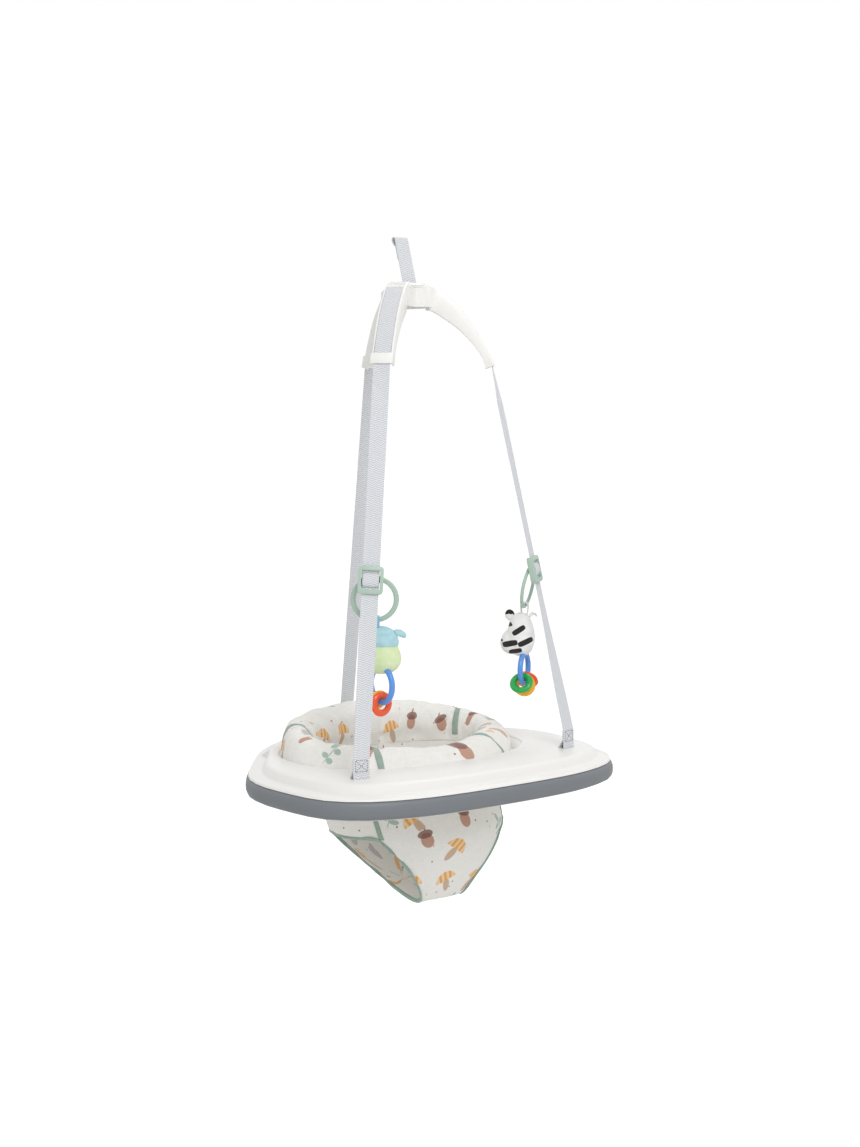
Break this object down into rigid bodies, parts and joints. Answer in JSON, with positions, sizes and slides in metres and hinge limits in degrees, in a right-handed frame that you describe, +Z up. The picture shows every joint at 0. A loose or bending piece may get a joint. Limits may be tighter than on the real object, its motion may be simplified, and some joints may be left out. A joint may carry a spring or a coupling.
{
  "type": "baby doorway jumper",
  "caption": "Doorway jumper: a moulded hanger on a webbing strap, webbing straps to a bumpered play tray with a padded fabric seat, and hanging toys on sliders.",
  "frame": {"origin": "centre of the eye at the top end of the upper strap, from which the whole part hangs", "axes": "+Z up along the way it hangs, -Y to the front of the tray, +X to the seated child's left as seen from the front right"},
  "size_m": [0.608, 0.5091, 1.0504],
  "materials": {
    "webbing": "woven, matt",
    "white_plastic": "smooth satin",
    "steel": "plain",
    "sage_plastic": "moulded satin",
    "sage_binding": "folded woven tape",
    "linen": "printed woven cloth",
    "bumper_grey": "soft satin moulding",
    "blue_ribbon": "woven ribbon",
    "pale_blue_plush": "short plush",
    "pale_green_plush": "short plush",
    "blue_plastic": "moulded",
    "orange_plastic": "moulded",
    "yellow_plastic": "moulded",
    "green_plastic": "moulded",
    "white_ribbon": "woven ribbon",
    "white_plush": "short plush",
    "black_plush": "short plush"
  },
  "bodies": {
    "top_strap": {"top_strap": "webbing"},
    "frame": {"hanger_frame": "white_plastic", "hub_pin": "steel", "strap_anchor_front_left": "steel", "strap_anchor_front_right": "steel", "strap_anchor_rear": "steel", "strap_front_left": "webbing", "strap_front_right": "webbing", "strap_rear": "webbing", "tray_shell": "white_plastic", "bumper": "bumper_grey", "seat_ring": "white_plastic", "seat_collar": "linen", "seat_pants": "linen", "leg_binding_left": "sage_binding", "leg_binding_right": "sage_binding", "side_tape_left": "sage_binding", "side_tape_right": "sage_binding"},
    "slider_left": {"slider_left": "sage_plastic"},
    "slider_right": {"slider_right": "sage_plastic"},
    "toy_left": {"toy_left_loop": "blue_ribbon", "toy_left_cap": "pale_blue_plush", "toy_left_body": "pale_green_plush", "toy_left_ear": "pale_blue_plush", "toy_left_hoop": "blue_plastic"},
    "toy_right": {"toy_right_loop": "white_ribbon", "toy_right_body": "white_plush", "toy_right_ear": "black_plush", "toy_right_tuft": "white_plush", "toy_right_hoop": "blue_plastic"},
    "left_ring_orange": {"toy_left_ring_orange": "orange_plastic"},
    "left_ring_yellow": {"toy_left_ring_yellow": "yellow_plastic"},
    "right_ring_green": {"toy_right_ring_green": "green_plastic"},
    "right_ring_yellow": {"toy_right_ring_yellow": "yellow_plastic"},
    "right_ring_orange": {"toy_right_ring_orange": "orange_plastic"}
  },
  "joints": [
    {"name": "hub_swing", "type": "hinge", "parent": "top_strap", "child": "frame", "pos_m": [0, -0.029, -0.091], "axis": [1, 0, 0], "range_deg": [-12, 12]},
    {"name": "slider_left_slide", "type": "slide", "parent": "frame", "child": "slider_left", "axis": [0.1605, 0.135, 0.9778], "range_m": [-0.03, 0.21]},
    {"name": "slider_right_slide", "type": "slide", "parent": "frame", "child": "slider_right", "axis": [-0.1605, 0.135, 0.9778], "range_m": [-0.03, 0.21]},
    {"name": "toy_left_swing", "type": "hinge", "parent": "slider_left", "child": "toy_left", "pos_m": [-0.141, -0.13479, -0.58146], "axis": [0.829, -0.5592, 0], "range_deg": [-6, 35]},
    {"name": "toy_right_swing", "type": "hinge", "parent": "slider_right", "child": "toy_right", "pos_m": [0.15903, -0.1222, -0.58077], "axis": [0.829, 0.5592, 0], "range_deg": [-6, 35]},
    {"name": "left_ring_orange_swing", "type": "hinge", "parent": "toy_left", "child": "left_ring_orange", "pos_m": [-0.13603, -0.13815, -0.70646], "axis": [0, -1, 0], "range_deg": [-60, 60]},
    {"name": "left_ring_yellow_swing", "type": "hinge", "parent": "toy_left", "child": "left_ring_yellow", "pos_m": [-0.13603, -0.12547, -0.7033], "axis": [0, -0.8829, -0.4695], "range_deg": [-60, 60]},
    {"name": "right_ring_green_swing", "type": "hinge", "parent": "toy_right", "child": "right_ring_green", "pos_m": [0.14678, -0.13046, -0.70118], "axis": [0.6533, 0.4406, -0.6157], "range_deg": [-60, 60]},
    {"name": "right_ring_yellow_swing", "type": "hinge", "parent": "toy_right", "child": "right_ring_yellow", "pos_m": [0.15903, -0.1222, -0.70627], "axis": [0.829, 0.5592, 0], "range_deg": [-60, 60]},
    {"name": "right_ring_orange_swing", "type": "hinge", "parent": "toy_right", "child": "right_ring_orange", "pos_m": [0.17128, -0.11394, -0.70118], "axis": [0.6533, 0.4406, 0.6157], "range_deg": [-60, 60]}
  ]
}
